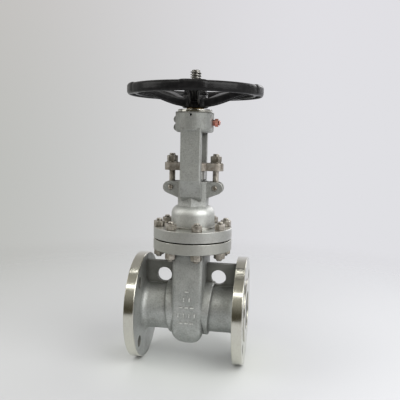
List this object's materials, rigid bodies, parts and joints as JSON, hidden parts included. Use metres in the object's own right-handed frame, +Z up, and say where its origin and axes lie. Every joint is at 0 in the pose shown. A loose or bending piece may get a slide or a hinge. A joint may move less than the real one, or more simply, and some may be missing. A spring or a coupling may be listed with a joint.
{
  "type": "gate valve",
  "caption": "Flanged cast stainless gate valve with an outside screw and yoke, rising stem, bolted bonnet and a spoked handwheel.",
  "frame": {"origin": "on the floor under the stem axis, midway between the flange faces, with the valve standing on its two end flanges", "axes": "+X along the pipe from the inlet face to the outlet face, +Z up along the stem axis, +Y to the back"},
  "size_m": [0.222, 0.222, 0.4835],
  "materials": {
    "cast_stainless": "bead-blasted casting with machined flange rims and faces",
    "machined_stainless": "turned stainless steel",
    "fastener_steel": "dull stainless fasteners",
    "stem_steel": "turned and thread-rolled stainless steel",
    "nut_bronze": "turned bronze",
    "packing_graphite": "pressed graphite",
    "gasket_graphite": "graphite and steel sheet",
    "wheel_paint": "gloss black paint on cast iron",
    "nipple_copper": "copper-coloured plating"
  },
  "bodies": {
    "valve_body": {"body": "cast_stainless", "bonnet": "cast_stainless", "gland_flange": "cast_stainless", "seat_ring_inlet": "machined_stainless", "seat_ring_outlet": "machined_stainless", "bonnet_gasket": "gasket_graphite", "backseat_bush": "machined_stainless", "packing_washer": "machined_stainless", "packing_rings": "packing_graphite", "gland_follower": "machined_stainless", "gland_eye_bolts": "fastener_steel", "gland_pins": "fastener_steel", "gland_washers": "fastener_steel", "gland_nuts": "fastener_steel", "bonnet_nuts_upper": "fastener_steel", "bonnet_nuts_lower": "fastener_steel", "bonnet_studs": "fastener_steel", "thrust_washer_lower": "machined_stainless", "thrust_washer_upper": "machined_stainless", "yoke_cap": "machined_stainless", "yoke_cap_set_screw": "fastener_steel", "grease_nipple": "nipple_copper", "grease_nipple_ball": "fastener_steel"},
    "handwheel": {"handwheel": "wheel_paint", "handwheel_key": "fastener_steel", "handwheel_washer": "fastener_steel", "handwheel_nut": "fastener_steel", "stem_nut": "nut_bronze"},
    "stem": {"stem": "stem_steel", "wedge": "machined_stainless"}
  },
  "joints": [
    {"name": "handwheel_turn", "type": "hinge", "parent": "valve_body", "child": "handwheel", "pos_m": [0, 0, 0.4497], "axis": [0, 0, 1], "range_deg": [0, 6480]},
    {"name": "stem_lift", "type": "slide", "parent": "valve_body", "child": "stem", "axis": [0, 0, 1], "range_m": [0, 0.0721]}
  ],
  "couplings": [
    {"joint": "stem_lift", "follows": "handwheel_turn", "m_per_rad": 0.00063662}
  ]
}
